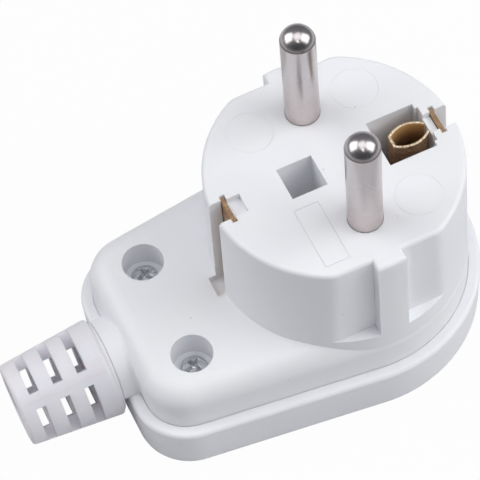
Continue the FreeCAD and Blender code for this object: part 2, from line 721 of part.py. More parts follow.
def make_screw(name, sizes, place, flip, slot):
    """A screw with its underhead plane at its own zero and its head above it.

    sizes gives the formulas of shank radius, shank length, head radius and head height. A tapping
    screw has a domed head with a cross recess, a terminal screw a flat head with one slot.
    """
    shank, length, head, height = sizes
    body = new_body(name)
    turned = new_sketch(body, "profile", "XZ_Plane")
    if slot:
        draw_profile(turned, [("0", f"-{length}"), (shank, f"-{length}"), (shank, "0"),
                              (head, "0"), (head, height), ("0", height)])
    else:
        point = f"{shank} * 0.4"
        rim = f"{height} * 0.35"
        # Dome through the rim of the head and its crown, centred on the axis
        rise = f"({height} - {rim})"
        dome = f"({head}^2 + {rise}^2) / (2 * {rise})"
        draw_profile(turned, [("0", f"-{length}"), (point, f"-{length}"),
                              (shank, f"-{length} + {shank}"), (shank, "0"), (head, "0"),
                              (head, rim), ("0", height)],
                     {5: ("0", f"{height} - {dome}", "DistanceX")})
    revolve(body, "blank", turned)
    cuts = [("slot", head)] if slot else [("slot", f"{head} * 0.6"), ("cross", f"{head} * 0.6")]
    for index, (label, reach) in enumerate(cuts):
        groove = new_sketch(body, label, lift=f"{height} - head_recess_depth")
        long_way, short_way = f"2 * {reach} + {int(slot)}", "head_recess_width"
        if index:
            long_way, short_way = short_way, long_way
        draw_box(groove, "0", "0", long_way, short_way)
        pocket(body, label + "_cut", groove, "head_recess_depth + 1", up=True)
    for axis, text in zip("xyz", place):
        body.setExpression("Placement.Base." + axis, formula(text))
    if flip:
        body.Placement.Rotation = Rotation(Vector(1, 0, 0), 180)
    doc.recompute()
    return body


def make_pin_carrier():
    """Moulded plate under the pins' shoulders, which traps them against the face wall."""
    body = new_body("pin_carrier")
    top = "face_height - face_wall - shoulder_length - slip"
    plate = new_sketch(body, "outline", lift=top)
    radius = "(chamber_radius - 2 * slip)"
    half_x = "(chamber_half_length - 2 * slip)"
    half_y = "(chamber_half_width - 2 * slip)"
    long_y = f"sqrt({radius}^2 - {half_x}^2)"
    wide_x = f"sqrt({radius}^2 - {half_y}^2)"
    corner = ("0", "0", "DistanceX")
    draw_profile(plate, [(half_x, f"-{long_y}"), (half_x, long_y), (wide_x, half_y),
                         (f"-{wide_x}", half_y), (f"-{half_x}", long_y), (f"-{half_x}", f"-{long_y}"),
                         (f"-{wide_x}", f"-{half_y}"), (wide_x, f"-{half_y}")],
                 {1: corner, 3: corner, 5: corner, 7: corner})
    pad(body, "plate", plate, "carrier_thickness", down=True)
    openings = new_sketch(body, "openings", lift=top)
    well_room = "well_width / 2 + inner_wall + 2 * slip"
    draw_rectangle(openings, "well_start - inner_wall - 2 * slip", "chamber_half_length + 1",
                   f"-({well_room})", well_room)
    room = "square_side + 2 * inner_wall + 4 * slip"
    draw_rectangle(openings, f"square_x - ({room}) / 2", f"square_x + ({room}) / 2",
                   f"-({room}) / 2", f"({room}) / 2")
    for side in (1, -1):
        draw_circle(openings, "0", f"{side} * pin_spacing / 2", "terminal_radius + slip")
        draw_circle(openings, "-carrier_post_x", f"{side} * carrier_post_y", "tapping_radius + slip")
        draw_circle(openings, "carrier_post_x", f"{side} * carrier_post_y", "peg_radius + slip")
    pocket(body, "openings_cut", openings, "carrier_thickness")
    return body


def make_earth_bow():
    """One brass strip bent to a U: a strap across the chamber and the two side earth clips."""
    body = new_body("earth_bow")
    top = "face_height - clip_below_face"
    inner = "clip_distance"
    outer = "(clip_distance + clip_thickness)"
    strap_top = "strap_height + clip_thickness"
    bent = new_sketch(body, "profile", "XZ_Plane")
    draw_profile(bent, [(f"-{outer}", "strap_height"), (outer, "strap_height"), (outer, top),
                        (inner, top), (inner, strap_top), (f"-{inner}", strap_top),
                        (f"-{inner}", top), (f"-{outer}", top)])
    strip = pad(body, "strip", bent, "clip_width")
    strip.Midplane = True
    doc.recompute()
    strap_z = number(strap_top)
    outer_x = number(outer)
    low_z = number("strap_height")

    def bend_edge(edge, across, height):
        """An edge along Y at a distance from the middle and a height."""
        box = edge.BoundBox
        return (box.YLength > 1 and box.XLength < 1e-6 and abs(abs(box.XMin) - across) < 1e-4
                and abs(box.ZMin - height) < 1e-4 and abs(box.ZMax - height) < 1e-4)

    inner_x = number(inner)
    fillet(body, "inner_bends", "clip_bend", lambda edge: bend_edge(edge, inner_x, strap_z))
    fillet(body, "outer_bends", "clip_bend + clip_thickness",
           lambda edge: bend_edge(edge, outer_x, low_z))
    holes = new_sketch(body, "holes", lift=strap_top)
    draw_circle(holes, "0", "0", "terminal_screw_radius + slip / 2")
    draw_circle(holes, "socket_x", "0", "rivet_radius + slip / 2")
    pocket(body, "holes_cut", holes, "clip_thickness")
    return body


def make_earth_socket():
    """Brass socket: two curled leaves that grip the earth pin, on a stem with a riveted foot."""
    body = new_body("earth_socket")
    top = "face_height - socket_below_face"
    foot_low = "strap_height + clip_thickness + slip / 2"
    leaf_low = f"{top} - socket_reach"

    # Each leaf is an arc through the fold's corner, the widest point and the mouth's corner
    half = "(socket_length / 2)"
    wide = "(socket_width / 2)"
    mouth = "(socket_mouth / 2)"
    drop = f"(({half}^2 + {mouth}^2 - {wide}^2) / (2 * ({wide} - {mouth})))"
    reach = f"({drop} + {wide})"
    left, right = f"(socket_x - {half})", f"(socket_x + {half})"
    inner_left = f"({left} + socket_thickness)"
    left_y = f"(sqrt(({reach} - socket_thickness)^2 - ({half} - socket_thickness)^2) - {drop})"
    right_y = f"(sqrt(({reach} - socket_thickness)^2 - {half}^2) - {drop})"

    leaves = new_sketch(body, "leaves", lift=leaf_low)
    low, high = ("socket_x", f"-1 * {drop}", "DistanceY"), ("socket_x", drop, "DistanceY")
    draw_profile(leaves, [(right, mouth), (left, mouth), (left, f"-1 * {mouth}"),
                          (right, f"-1 * {mouth}"), (right, f"-1 * {right_y}"),
                          (inner_left, f"-1 * {left_y}"), (inner_left, left_y), (right, right_y)],
                 {0: low, 2: high, 4: high, 6: low})
    pad(body, "leaves_pad", leaves, "socket_reach")
    stem = new_sketch(body, "stem", lift=foot_low)
    stem_half = "socket_length / 4"
    draw_rectangle(stem, f"socket_x - {stem_half}", f"socket_x + {stem_half}",
                   "-(socket_width / 2 - 0.1)", "-(socket_width / 2 - 0.1 - socket_thickness)")
    pad(body, "stem_pad", stem, f"{leaf_low} - ({foot_low}) + 1")
    foot = new_sketch(body, "foot", lift=foot_low)
    draw_rectangle(foot, f"socket_x - {stem_half}", f"socket_x + {stem_half}",
                   "-(socket_width / 2 - 0.1)", "clip_width / 2 - slip")
    pad(body, "foot_pad", foot, "socket_thickness")
    hole = new_sketch(body, "rivet_hole", lift=f"{foot_low} + socket_thickness")
    draw_circle(hole, "socket_x", "0", "rivet_radius + slip / 2")
    pocket(body, "rivet_hole_cut", hole, "socket_thickness")
    return body


def make_earth_rivet():
    """Brass rivet through the socket's foot and the strap."""
    body = new_body("earth_rivet")
    low = "strap_height - slip / 2"
    high = "strap_height + clip_thickness + socket_thickness + slip"
    turned = new_sketch(body, "profile", "XZ_Plane")
    draw_profile(turned, [("0", f"{low} - rivet_head_height"),
                          ("rivet_head_radius", f"{low} - rivet_head_height"),
                          ("rivet_head_radius", low), ("rivet_radius", low), ("rivet_radius", high),
                          ("rivet_head_radius - 0.6", high),
                          ("rivet_head_radius - 0.6", f"{high} + rivet_head_height"),
                          ("0", f"{high} + rivet_head_height")])
    revolve(body, "shank", turned)
    body.setExpression("Placement.Base.x", formula("socket_x"))
    doc.recompute()
    return body


def make_earth_clamp_washer():
    """Square washer that presses the earth wire on the strap."""
    body = new_body("earth_clamp_washer")
    plate = new_sketch(body, "plate", lift="strap_height - slip / 2 - washer_thickness")
    draw_box(plate, "0", "0", "washer_side", "washer_side")
    draw_circle(plate, "0", "0", "terminal_screw_radius + slip")
    pad(body, "plate_pad", plate, "washer_thickness")
    return body


def make_cord_clamp_bar():
    """Moulded bar across the cord, hollowed to its round and screwed to the two posts."""
    body = new_body("cord_clamp_bar")
    bar = new_sketch(body, "outline", lift="clamp_bar_height")
    bar_length = "(clamp_screw_spacing + 2 * clamp_bar_end)"
    draw_box(bar, "clamp_x", "0", "clamp_bar_width", bar_length)
    pad(body, "bar", bar, "clamp_bar_thickness")
    half = number(f"{bar_length} / 2")
    low = number("clamp_bar_height")
    high = number("clamp_bar_height + clamp_bar_thickness")

    def end_corner(edge):
        """The four upright corners of the bar."""
        box = edge.BoundBox
        return (abs(box.ZMin - low) < 1e-4 and abs(box.ZMax - high) < 1e-4
                and abs(abs(box.Center.y) - half) < 1e-4)

    fillet(body, "bar_rounds", "clamp_bar_width * 0.45", end_corner)
    hollow = new_sketch(body, "hollow", "YZ_Plane", "clamp_x - clamp_bar_width")
    draw_circle(hollow, "0", "cord_axis_height", "cord_hole_radius")
    pocket(body, "hollow_cut", hollow, "2 * clamp_bar_width", up=True)
    holes = new_sketch(body, "holes", lift="clamp_bar_height + clamp_bar_thickness")
    for side in (1, -1):
        draw_circle(holes, "clamp_x", f"{side} * clamp_screw_spacing / 2", "tapping_radius + slip")
    pocket(body, "holes_cut", holes, "clamp_bar_thickness")
    return body


parts = [make_front_housing(), make_back_shell(), make_bend_protector(), make_pin_carrier(),
         make_earth_bow(), make_earth_socket(), make_earth_rivet(), make_earth_clamp_washer(),
         make_cord_clamp_bar()]

tapping = ("tapping_radius", "pan_head_radius", "pan_head_height")
metric = ("terminal_screw_radius", "cheese_head_radius", "cheese_head_height")
carrier_low = "face_height - face_wall - shoulder_length - 2 * slip - carrier_thickness"
pin_end = "face_height - face_wall - slip / 2 - shoulder_length - terminal_length"
for label, side in (("far", 1), ("near", -1)):
    pin_y = f"{side} * pin_spacing / 2"
    parts.append(make_contact_pin("contact_pin_" + label, side))
    parts.append(make_screw("terminal_screw_" + label,
                            (metric[0], "(terminal_length - wire_hole_depth)", *metric[1:]),
                            ("0", pin_y, f"{pin_end} - slip"), True, True))
    parts.append(make_screw("carrier_screw_" + label,
                            (tapping[0], "carrier_screw_length", tapping[1], tapping[2]),
                            ("-carrier_post_x", f"{side} * carrier_post_y", carrier_low), True, False))
    parts.append(make_screw("cover_screw_" + label,
                            (tapping[0], "cover_screw_length", tapping[1], tapping[2]),
                            ("cover_screw_x", f"{side} * cover_screw_spacing / 2",
                             "deck_height - counterbore_depth + slip / 2"), False, False))
    parts.append(make_screw("clamp_screw_" + label,
                            (tapping[0], "clamp_screw_length", tapping[1], "1.2"),
                            ("clamp_x", f"{side} * clamp_screw_spacing / 2",
                             "clamp_bar_height - slip / 2"), True, False))
parts.append(make_screw("earth_terminal_screw",
                        (metric[0], "earth_screw_length", *metric[1:]),
                        ("0", "0", "strap_height - slip - washer_thickness"), True, True))

doc.recompute()
for item in doc.Objects:
    if "Invalid" in item.State or "Error" in item.State:
        raise RuntimeError(f"{item.Name} is {item.State}")
for part in parts:
    if part.Shape.isNull() or not part.Shape.isValid():
        raise RuntimeError(part.Label + " has no valid shape")
for part in parts:
    part.Shape.exportStep(f"parts/{part.Label}.step")
    print(part.Label, len(part.Shape.Solids), round(part.Shape.Volume, 2))
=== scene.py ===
import bpy
import numpy as np
from mathutils import Matrix, Vector


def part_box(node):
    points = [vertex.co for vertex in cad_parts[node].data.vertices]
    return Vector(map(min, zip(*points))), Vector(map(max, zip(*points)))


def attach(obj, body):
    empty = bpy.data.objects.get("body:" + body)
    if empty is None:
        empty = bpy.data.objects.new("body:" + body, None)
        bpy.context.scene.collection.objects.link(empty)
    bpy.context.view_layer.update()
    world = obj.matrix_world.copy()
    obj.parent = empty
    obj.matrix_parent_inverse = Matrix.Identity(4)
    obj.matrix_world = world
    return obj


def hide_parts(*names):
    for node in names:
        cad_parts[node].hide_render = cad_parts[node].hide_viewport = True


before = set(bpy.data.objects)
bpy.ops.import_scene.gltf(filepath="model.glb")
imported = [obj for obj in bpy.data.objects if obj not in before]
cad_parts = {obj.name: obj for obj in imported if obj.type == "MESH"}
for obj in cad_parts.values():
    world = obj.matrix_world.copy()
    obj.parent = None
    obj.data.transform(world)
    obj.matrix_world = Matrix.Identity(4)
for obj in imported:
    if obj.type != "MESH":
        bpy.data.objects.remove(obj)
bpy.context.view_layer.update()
scene = bpy.context.scene
scene.view_settings.view_transform = "Standard"

# Camera
# A long lens looks down on the plug over its near side, from a little towards the cord. Its turns
# and its distance were fitted to the pins' standard spacing in the photograph.
MM = 0.001
azimuth, elevation, roll = np.radians([-19.841, 58.197, -6.310])
looked_at, camera_distance = np.array([-15.239, -2.418, 29.082]) * MM, 391.2 * MM
level_right = np.array([np.cos(azimuth), np.sin(azimuth), 0])
to_camera = np.array([np.sin(azimuth) * np.cos(elevation), -np.cos(azimuth) * np.cos(elevation),
                      np.sin(elevation)])
level_up = np.cross(to_camera, level_right)
camera_right = np.cos(roll) * level_right + np.sin(roll) * level_up
camera_up = np.cos(roll) * level_up - np.sin(roll) * level_right
camera = bpy.data.objects.new("camera", bpy.data.cameras.new("camera"))
scene.collection.objects.link(camera)
camera.data.sensor_width = 36
camera.data.lens = 220.05
camera.data.clip_start = 0.01
turn = Matrix(np.column_stack([camera_right, camera_up, to_camera]).tolist()).to_4x4()
camera.matrix_world = Matrix.Translation(looked_at + to_camera * camera_distance) @ turn
scene.camera = camera

# Floor, sky and lamps
# A pale grey table under soft lamps on both sides and overhead and a small bright one near the
# lens. The camera sees table and sky as white, metal sees some of that white, and the table still
# takes the shadow. The room is darker on the camera's side, as the pins show it.
floor_half, floor_drop, clear_reach = 0.4, 0.05 * MM, 0.5 * MM
white_for_camera, white_for_metal = 0.97, 0.08
near_side_light, far_side_light = 0.06, 0.2
lamp_distance, lamp_aim = 0.9, np.array([-10, 0, 20]) * MM


def linear(hex_colour):
    """An sRGB colour such as '#e7e9ed' as linear red, green, blue and 1."""
    value = np.array([int(hex_colour[i:i + 2], 16) for i in (1, 3, 5)]) / 255
    low = value / 12.92
    high = ((value + 0.055) / 1.055) ** 2.4
    return (*np.where(value <= 0.04045, low, high).tolist(), 1.0)


def link_in(tree, node, links):
    """Links other nodes' outputs into a node's inputs, each by its name or number."""
    for name, source in dict(links).items():
        tree.links.new(source, node.inputs[name])


def add(tree, kind, settings=(), inputs=(), links=()):
    """Adds a node to a tree with its settings, its inputs' values and the links into it."""
    node = tree.nodes.new(kind)
    for name, value in dict(settings).items():
        setattr(node, name, value)
    for name, value in dict(inputs).items():
        node.inputs[name].default_value = value
    link_in(tree, node, links)
    return node


floor_material = bpy.data.materials.new("pale_paper_table")
floor_material.use_nodes = True
tree = floor_material.node_tree
tree.nodes.clear()
paper = add(tree, "ShaderNodeBsdfDiffuse", inputs={"Color": linear("#c8c8cb")})
glow = add(tree, "ShaderNodeEmission", inputs={"Color": linear("#ffffff"), "Strength": 1.0})
path = add(tree, "ShaderNodeLightPath")
part_glossy = add(tree, "ShaderNodeMath", {"operation": "MULTIPLY"}, {1: white_for_metal},
                  {0: path.outputs["Is Glossy Ray"]})
seen = add(tree, "ShaderNodeMath", {"operation": "MAXIMUM"},
           links={0: path.outputs["Is Camera Ray"], 1: part_glossy.outputs[0]})
mostly = add(tree, "ShaderNodeMath", {"operation": "MULTIPLY"}, {1: white_for_camera},
             {0: seen.outputs[0]})
sweep = add(tree, "ShaderNodeMixShader",
            links={0: mostly.outputs[0], 1: paper.outputs[0], 2: glow.outputs[0]})
# From below the table is clear, and light as near as the plug's back passes it, so that the back
# can be looked at too
side_seen = add(tree, "ShaderNodeNewGeometry")
touching = add(tree, "ShaderNodeMath", {"operation": "LESS_THAN"}, {1: clear_reach},
               {0: path.outputs["Ray Length"]})
clear_here = add(tree, "ShaderNodeMath", {"operation": "MAXIMUM"},
                 links={0: side_seen.outputs["Backfacing"], 1: touching.outputs[0]})
clear = add(tree, "ShaderNodeBsdfTransparent")
table = add(tree, "ShaderNodeMixShader",
            links={0: clear_here.outputs[0], 1: sweep.outputs[0], 2: clear.outputs[0]})
add(tree, "ShaderNodeOutputMaterial", links={"Surface": table.outputs[0]})

floor_corners = [(x * floor_half, y * floor_half, -floor_drop)
                 for x, y in ((-1, -1), (1, -1), (1, 1), (-1, 1))]
floor_mesh = bpy.data.meshes.new("floor")
floor_mesh.from_pydata(floor_corners, [], [(0, 1, 2, 3)])
floor_mesh.materials.append(floor_material)
floor = bpy.data.objects.new("floor", floor_mesh)
scene.collection.objects.link(floor)

world = bpy.data.worlds.new("studio")
scene.world = world
world.use_nodes = True
tree = world.node_tree
tree.nodes.clear()
path = add(tree, "ShaderNodeLightPath")
direction = add(tree, "ShaderNodeTexCoord")
toward = add(tree, "ShaderNodeSeparateXYZ", links={"Vector": direction.outputs["Generated"]})
room = add(tree, "ShaderNodeMapRange",
           inputs={"From Min": -0.7, "From Max": 0.3, "To Min": near_side_light,
                   "To Max": far_side_light}, links={"Value": toward.outputs["Y"]})
soft = add(tree, "ShaderNodeBackground", inputs={"Color": linear("#e6eaf4")},
           links={"Strength": room.outputs["Result"]})
white = add(tree, "ShaderNodeBackground", inputs={"Color": linear("#ffffff"), "Strength": 1.0})
both = add(tree, "ShaderNodeMixShader",
           links={0: path.outputs["Is Camera Ray"], 1: soft.outputs[0], 2: white.outputs[0]})
add(tree, "ShaderNodeOutputWorld", links={"Surface": both.outputs[0]})


def lamp(name, turn_and_rise, side, watts, in_metal=True):
    """A square soft lamp at lamp_distance from lamp_aim and turned to it.

    Its turn round the plug and its rise above the level are in degrees.
    """
    turn_angle, rise = np.radians(turn_and_rise)
    place = lamp_aim + lamp_distance * np.array([np.cos(rise) * np.cos(turn_angle),
                                                 np.cos(rise) * np.sin(turn_angle),
                                                 np.sin(rise)])
    data = bpy.data.lights.new(name, "AREA")
    data.shape = "SQUARE"
    data.size = side
    data.energy = watts
    made = bpy.data.objects.new(name, data)
    made.location = place.tolist()
    made.rotation_euler = Vector((lamp_aim - place).tolist()).to_track_quat("-Z", "Y").to_euler()
    made.visible_glossy = in_metal
    scene.collection.objects.link(made)


lamp("left_softbox", (147, 38), 0.75, 3.8)
lamp("right_softbox", (-26, 42), 0.75, 3.7)
lamp("lens_lamp", (255, 60), 0.08, 0.25)
lamp("end_panel", (-20, 22), 0.7, 1.7, in_metal=False)
lamp("near_panel", (273, 33), 0.7, 1.2, in_metal=False)
lamp("overhead_panel", (0, 90), 0.7, 2.0)

# Front housing, back shell and cord clamp bar
# Injection-moulded ABS, faintly blue white and satin from a spark-eroded mould. The eye gets
# a very fine grain, slow drifts of tone and gloss where the melt flowed, and a stray dark speck.
flow_size, speck_spacing = 14 * MM, 4.6 * MM
speck_core, speck_edge = 0.066 * MM, 0.132 * MM
# The mould's real grain is about 0.02 mm, so it is drawn some ten times as coarse to show at all
grain_size, grain_depth = 0.22 * MM, 0.02 * MM


def new_material(name, values=()):
    """A new material, its node tree, and its shader with values set on the shader's sockets."""
    material = bpy.data.materials.new(name)
    material.use_nodes = True
    shader = material.node_tree.nodes["Principled BSDF"]
    for socket, value in dict(values).items():
        shader.inputs[socket].default_value = value
    return material, material.node_tree, shader


def dress(material, *names):
    """Gives CAD nodes a material in place of their plain one."""
    for name in names:
        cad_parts[name].material_slots[0].material = material


abs_material, tree, shader = new_material("moulded_white_abs", {
    "IOR": 1.53, "Subsurface Weight": 0.3, "Subsurface Radius": (1.0, 0.9, 0.85),
    "Subsurface Scale": 0.7 * MM})
place = add(tree, "ShaderNodeTexCoord").outputs["Object"]
flow = add(tree, "ShaderNodeTexNoise", inputs={"Scale": 1 / flow_size, "Detail": 3.0},
           links={"Vector": place})
tint = add(tree, "ShaderNodeMix", {"data_type": "RGBA"},
           {6: linear("#f0f1f6"), 7: linear("#f4f5f7")}, {0: flow.outputs["Fac"]})
specks = add(tree, "ShaderNodeTexVoronoi", inputs={"Scale": 1 / speck_spacing},
             links={"Vector": place})
near_speck = add(tree, "ShaderNodeMapRange",
                 inputs={"From Min": speck_core / speck_spacing,
                         "From Max": speck_edge / speck_spacing, "To Min": 0.45, "To Max": 0.0},
                 links={"Value": specks.outputs["Distance"]})
speckled = add(tree, "ShaderNodeMix", {"data_type": "RGBA"}, {7: linear("#8d8884")},
               {0: near_speck.outputs["Result"], 6: tint.outputs[2]})
gloss = add(tree, "ShaderNodeMapRange", inputs={"To Min": 0.38, "To Max": 0.47},
            links={"Value": flow.outputs["Fac"]})
grain = add(tree, "ShaderNodeTexNoise", inputs={"Scale": 1 / grain_size, "Detail": 2.0},
            links={"Vector": place})
relief = add(tree, "ShaderNodeBump", inputs={"Strength": 0.25, "Distance": grain_depth},
             links={"Height": grain.outputs["Fac"]})
link_in(tree, shader, {"Base Color": speckled.outputs[2], "Roughness": gloss.outputs["Result"],
                       "Normal": relief.outputs["Normal"]})
dress(abs_material, "front_housing", "back_shell", "cord_clamp_bar")

# Pin plate
# A moulded polyamide plate that traps the pins, a shade creamier and duller than the housing.
# The eye gets a warm off-white with a fine grain.
polyamide_material, tree, shader = new_material("moulded_cream_polyamide",
                                                {"IOR": 1.53, "Roughness": 0.55})
place = add(tree, "ShaderNodeTexCoord").outputs["Object"]
flow = add(tree, "ShaderNodeTexNoise", inputs={"Scale": 1 / flow_size, "Detail": 3.0},
           links={"Vector": place})
tint = add(tree, "ShaderNodeMix", {"data_type": "RGBA"},
           {6: linear("#dcd8cc"), 7: linear("#e4e0d5")}, {0: flow.outputs["Fac"]})
grain = add(tree, "ShaderNodeTexNoise", inputs={"Scale": 1 / grain_size, "Detail": 2.0},
            links={"Vector": place})
relief = add(tree, "ShaderNodeBump", inputs={"Strength": 0.3, "Distance": grain_depth},
             links={"Height": grain.outputs["Fac"]})
link_in(tree, shader, {"Base Color": tint.outputs[2], "Normal": relief.outputs["Normal"]})
dress(polyamide_material, "pin_carrier")

# Bend protector
# One soft PVC moulding, cut by three rings of windows so that it bends with the cord. The eye
# gets a matt, slightly rosy white that glows a little where the wall is thin.
pvc_flow_size = 6 * MM
pvc_material, tree, shader = new_material("soft_moulded_pvc", {
    "IOR": 1.52, "Subsurface Weight": 0.7, "Subsurface Radius": (1.0, 0.75, 0.72),
    "Subsurface Scale": 2.5 * MM})
place = add(tree, "ShaderNodeTexCoord").outputs["Object"]
flow = add(tree, "ShaderNodeTexNoise", inputs={"Scale": 1 / pvc_flow_size, "Detail": 3.0},
           links={"Vector": place})
tint = add(tree, "ShaderNodeMix", {"data_type": "RGBA"},
           {6: linear("#e9e7ee"), 7: linear("#efecf0")}, {0: flow.outputs["Fac"]})
gloss = add(tree, "ShaderNodeMapRange", inputs={"To Min": 0.46, "To Max": 0.56},
            links={"Value": flow.outputs["Fac"]})
grain = add(tree, "ShaderNodeTexNoise", inputs={"Scale": 1 / grain_size, "Detail": 2.0},
            links={"Vector": place})
relief = add(tree, "ShaderNodeBump", inputs={"Strength": 0.3, "Distance": grain_depth},
             links={"Height": grain.outputs["Fac"]})
link_in(tree, shader, {"Base Color": tint.outputs[2], "Roughness": gloss.outputs["Result"],
                       "Normal": relief.outputs["Normal"]})
dress(pvc_material, "bend_protector")

# Parting line of the bend protector
# The seam of its mould stands up as a hair-thin ridge along the two strips between the windows.
# It is a little prouder than a real one, so that the eye gets a faint line there.
cone_base = np.array([-36.1, 0, 7.9]) * MM
cone_back = np.array([0.998630, -0.015302, 0.050049])
cone_length, base_radius, end_radius = 13.6 * MM, 7.15 * MM, 5.95 * MM
parting_angle, ridge_margin = np.radians(34), 0.75 * MM
ridge_half_width, ridge_height, ridge_sink = 0.07 * MM, 0.02 * MM, 0.05 * MM


def ring_faces(rows, columns, closed=False):
    """Four-cornered faces over rows of points, each row a ring.

    Point (i, j) has the number i * columns + j, and a face joins it to (i + 1, j),
    (i + 1, j + 1) and (i, j + 1). The first j follows the last one, and the first i does too if
    the rows are closed.
    """
    i, j = np.meshgrid(np.arange(rows if closed else rows - 1), np.arange(columns), indexing="ij")
    n, k = (i + 1) % rows, (j + 1) % columns
    corners = [i * columns + j, n * columns + j, n * columns + k, i * columns + k]
    return np.stack(corners, -1).reshape(-1, 4).tolist()


def end_faces(rows, columns):
    """One face each that closes the first and the last of such rings."""
    numbers = np.arange(rows * columns).reshape(rows, columns)
    return [numbers[0].tolist(), numbers[-1, ::-1].tolist()]


def new_mesh(name, points, faces, sharp_degrees=None):
    """A flat-shaded mesh, or a smooth one but for its edges that are sharper than an angle."""
    mesh = bpy.data.meshes.new(name)
    mesh.from_pydata(points.reshape(-1, 3).tolist(), [], faces)
    if sharp_degrees is not None:
        mesh.polygons.foreach_set("use_smooth", np.ones(len(mesh.polygons), dtype=bool))
        mesh.set_sharp_from_angle(angle=np.radians(sharp_degrees))
    return mesh


def place_piece(mesh, material):
    """Links a mesh as a piece of its name that rides on the one body, with material and slot."""
    mesh.materials.append(material)
    piece = bpy.data.objects.new(mesh.name, mesh)
    scene.collection.objects.link(piece)
    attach(piece, "root")
    return piece


def ridge_mesh(name, turn_angle):
    """A thin ridge on the cone, as a mesh.

    Along the cone at distance s the ground radius is base + (end - base) s / length. Across, at
    v from -1 to 1, the ridge is v half widths aside and height * (1 - v^2) above the ground,
    and its underside lies a little inside the cone.
    """
    up = np.cross(np.cross(cone_back, [0, 0, 1]), cone_back)
    up /= np.linalg.norm(up)
    side = np.cross(cone_back, up)
    outward = np.cos(turn_angle) * up + np.sin(turn_angle) * side
    across = np.cross(cone_back, outward)
    s = np.linspace(ridge_margin, cone_length - ridge_margin, 40)[:, None]
    top = np.linspace(-1, 1, 9)
    v = np.concatenate([top, [1, -1]])[None, :]
    rise = np.where(np.arange(v.size) < top.size, ridge_height * (1 - v ** 2), -ridge_sink)
    ground = base_radius + (end_radius - base_radius) * s / cone_length
    points = (cone_base - cone_back * s[..., None] + outward * (ground + rise)[..., None]
              + across * (v * ridge_half_width + 0 * s)[..., None])
    size = points.shape[:2]
    return new_mesh(name, points, ring_faces(*size) + end_faces(*size))


# The ridge is too thin for light to travel in, so its PVC has the glow left out
thin_pvc_material = pvc_material.copy()
thin_pvc_material.name = "soft_moulded_pvc_edge"
shader = thin_pvc_material.node_tree.nodes["Principled BSDF"]
shader.inputs["Subsurface Weight"].default_value = 0
place_piece(ridge_mesh("parting_ridge_near", parting_angle), thin_pvc_material)
place_piece(ridge_mesh("parting_ridge_far", parting_angle + np.pi), thin_pvc_material)

# Seat of the bend protector
# A low lip of the same PVC closes most of the wedge between the leaning cone and the collar, so
# that only a thin shaded line is left there.
lip_front, lip_outer, lip_inner = -35.93 * MM, 6.55 * MM, 4.6 * MM
lip_round, lip_round_depth, lip_sink = 0.25 * MM, 0.05 * MM, 0.1 * MM


def lip_mesh(name):
    """A ring round the neck between the collar's face and the cone's leaning base.

    The side towards the collar is flat with a rounded outer edge. The other side lies lip_sink
    inside the cone, whose base plane is the x where (point - base) . back = 0, and nowhere
    nearer than lip_sink to the first.
    """
    t = np.linspace(0, 2 * np.pi, 180, endpoint=False)
    rings = []
    for radius, flat_x in ((lip_inner, lip_front), (lip_outer - lip_round, lip_front),
                           (lip_outer, lip_front - lip_round_depth), (lip_outer, None),
                           (lip_inner, None)):
        y, z = radius * np.cos(t), radius * np.sin(t)
        plane = cone_base[0] - (cone_back[1] * y + cone_back[2] * z) / cone_back[0]
        sunk = np.minimum(plane, lip_front) - lip_sink
        x = sunk if flat_x is None else np.full_like(t, flat_x)
        rings.append(np.stack([x, y, z + cone_base[2]], 1))
    return new_mesh(name, np.stack(rings), ring_faces(len(rings), len(t), closed=True), 35)


place_piece(lip_mesh("protector_seat_lip"), thin_pvc_material)

# Contact pins
# Turned brass pins with a bright nickel plate. The eye gets soft reflections on the polished
# tip, which meets the shaft at a faint edge with a dark band painted there as reflected shade,
# and a satin shaft that is duller and warmer at its foot.
face_height, shaft_end, pin_radius = 33.7 * MM, 50.3 * MM, 2.4 * MM
ring_spacing, mottle_size, stain_size = 0.15 * MM, 0.35 * MM, 1.6 * MM
dull_top, dull_foot = 12 * MM, 1 * MM
# Where the painted dark band at the tip's edge starts, is darkest and ends
painted_band_from, painted_band_full, painted_band_to = 0.01 * MM, 0.1 * MM, 0.55 * MM
satin_roughness, dull_roughness_added = 0.27, 0.08
tip_edge_angle, merge_step, past_edge = np.radians(14), 0.0005 * MM, 0.001 * MM

nickel_material, tree, shader = new_material("bright_nickel_plate", {"Metallic": 1})
place = add(tree, "ShaderNodeTexCoord").outputs["Object"]
height = add(tree, "ShaderNodeSeparateXYZ", links={"Vector": place}).outputs["Z"]
# Turning leaves rings round the pin, so the pattern hardly changes across and quickly along it
stretch = add(tree, "ShaderNodeMapping", inputs={"Scale": (0.04, 0.04, 1.0)},
              links={"Vector": place})
rings = add(tree, "ShaderNodeTexNoise", inputs={"Scale": 1 / ring_spacing, "Detail": 2.0},
            links={"Vector": stretch.outputs["Vector"]})
near_foot = add(tree, "ShaderNodeMapRange",
                inputs={"From Min": face_height + dull_top, "From Max": face_height + dull_foot,
                        "To Min": 0.0, "To Max": 1.0}, links={"Value": height})
mottle = add(tree, "ShaderNodeTexNoise", inputs={"Scale": 1 / mottle_size, "Detail": 4.0},
             links={"Vector": place})
stains = add(tree, "ShaderNodeTexNoise", inputs={"Scale": 1 / stain_size, "Detail": 3.0},
             links={"Vector": place})
both = add(tree, "ShaderNodeMath", {"operation": "MULTIPLY"},
           links={0: mottle.outputs["Fac"], 1: stains.outputs["Fac"]})
patches = add(tree, "ShaderNodeMapRange", inputs={"From Min": 0.05, "From Max": 0.5},
              links={"Value": both.outputs[0]})
dull = add(tree, "ShaderNodeMath", {"operation": "MULTIPLY"},
           links={0: near_foot.outputs["Result"], 1: patches.outputs["Result"]})
tint = add(tree, "ShaderNodeMix", {"data_type": "RGBA"},
           {6: linear("#d3cdcd"), 7: linear("#c8b8b4")}, {0: dull.outputs[0]})
